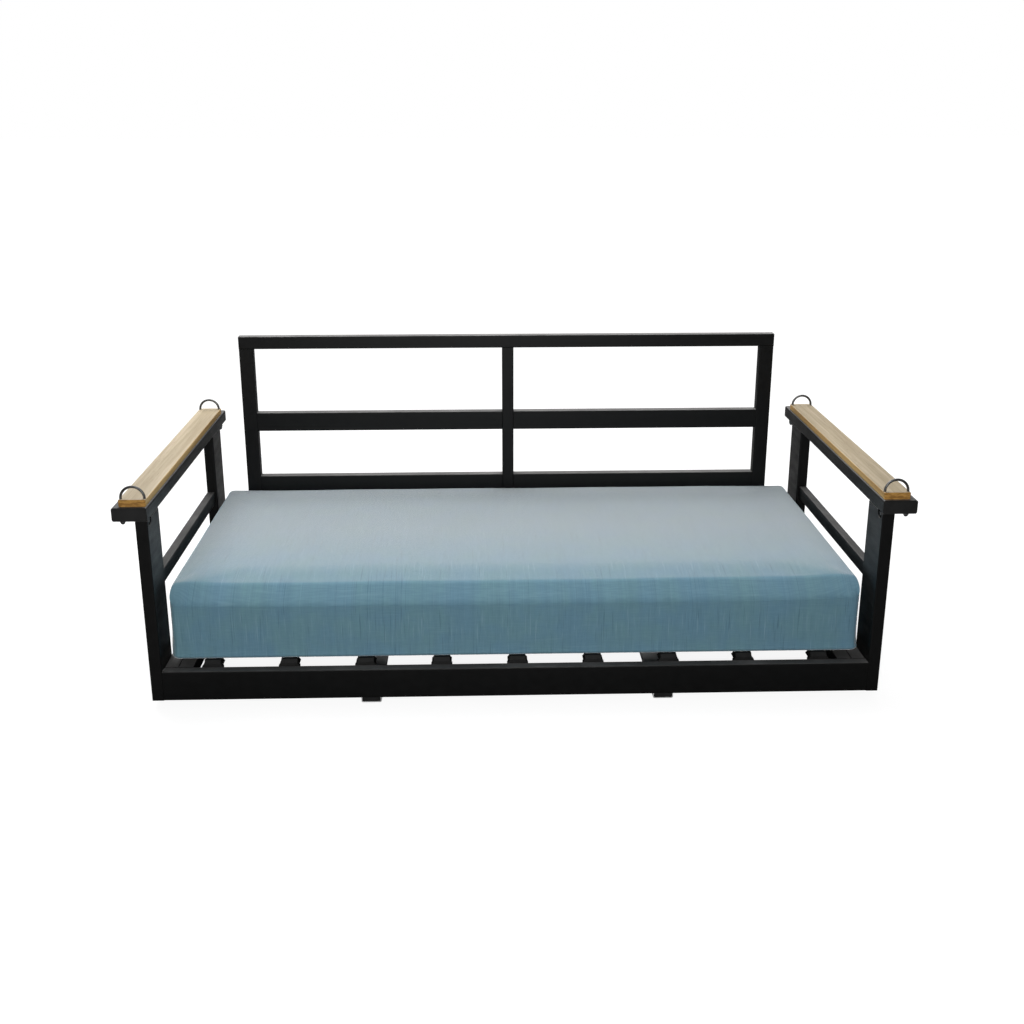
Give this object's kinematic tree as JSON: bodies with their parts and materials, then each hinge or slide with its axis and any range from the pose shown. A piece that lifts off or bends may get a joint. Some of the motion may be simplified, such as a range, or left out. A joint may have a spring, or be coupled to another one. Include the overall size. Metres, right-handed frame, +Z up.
{
  "type": "porch swing",
  "caption": "Daybed porch swing: black tube frame with an open back, flat arms with wooden boards and U-bolt hanging eyes, sprung slats and a thick loose mattress.",
  "frame": {"origin": "on the floor, in the middle of the swing's outline, where it stands when it is not hung", "axes": "+X to the sitter's left, seen from the front it is to the right; +Y from the front edge of the seat to the back; +Z up"},
  "size_m": [2.118, 1.096, 0.845],
  "materials": {
    "frame_paint": "satin",
    "arm_teak": "matte",
    "slat_wood": "satin",
    "black_plastic": "matte",
    "eye_steel": "satin",
    "beam_zinc": "matte",
    "bolt_steel": "satin",
    "mattress_cloth": "matte",
    "mattress_foam": "matte"
  },
  "bodies": {
    "swing_frame": {"front_rail": "frame_paint", "back_rail": "frame_paint", "left_seat_rail": "frame_paint", "right_seat_rail": "frame_paint", "left_side_cleat": "frame_paint", "right_side_cleat": "frame_paint", "left_cross_beam": "beam_zinc", "right_cross_beam": "beam_zinc", "cross_beam_caps": "black_plastic", "cross_beam_bolts": "bolt_steel", "cross_beam_rivet_nuts": "bolt_steel", "slat_1": "slat_wood", "slat_2": "slat_wood", "slat_3": "slat_wood", "slat_4": "slat_wood", "slat_5": "slat_wood", "slat_6": "slat_wood", "slat_7": "slat_wood", "slat_8": "slat_wood", "slat_9": "slat_wood", "front_slat_holders": "black_plastic", "back_slat_holders": "black_plastic", "slat_holder_screws": "bolt_steel", "front_left_post": "frame_paint", "front_right_post": "frame_paint", "back_left_post": "frame_paint", "back_right_post": "frame_paint", "post_foot_caps": "black_plastic", "left_upper_side_rail": "frame_paint", "right_upper_side_rail": "frame_paint", "side_panel_bolts": "bolt_steel", "side_panel_nuts": "bolt_steel", "left_arm": "frame_paint", "right_arm": "frame_paint", "arm_end_caps": "black_plastic", "left_arm_board": "arm_teak", "right_arm_board": "arm_teak", "arm_board_screws": "bolt_steel", "front_left_eye_bolt": "eye_steel", "front_right_eye_bolt": "eye_steel", "back_left_eye_bolt": "eye_steel", "back_right_eye_bolt": "eye_steel", "eye_bolt_washers": "eye_steel", "eye_bolt_nuts": "eye_steel", "back_top_rail": "frame_paint", "left_back_stile": "frame_paint", "right_back_stile": "frame_paint", "middle_back_stile": "frame_paint", "left_back_middle_rail": "frame_paint", "right_back_middle_rail": "frame_paint", "left_back_lower_rail": "frame_paint", "right_back_lower_rail": "frame_paint", "back_frame_caps": "black_plastic", "back_frame_bolts": "bolt_steel", "back_frame_nuts": "bolt_steel"},
    "mattress": {"mattress_core": "mattress_foam", "mattress_cover": "mattress_cloth"}
  },
  "joints": [
    {"name": "mattress_lift", "type": "slide", "parent": "swing_frame", "child": "mattress", "axis": [0, 0, 1], "range_m": [0, 0.25]}
  ]
}
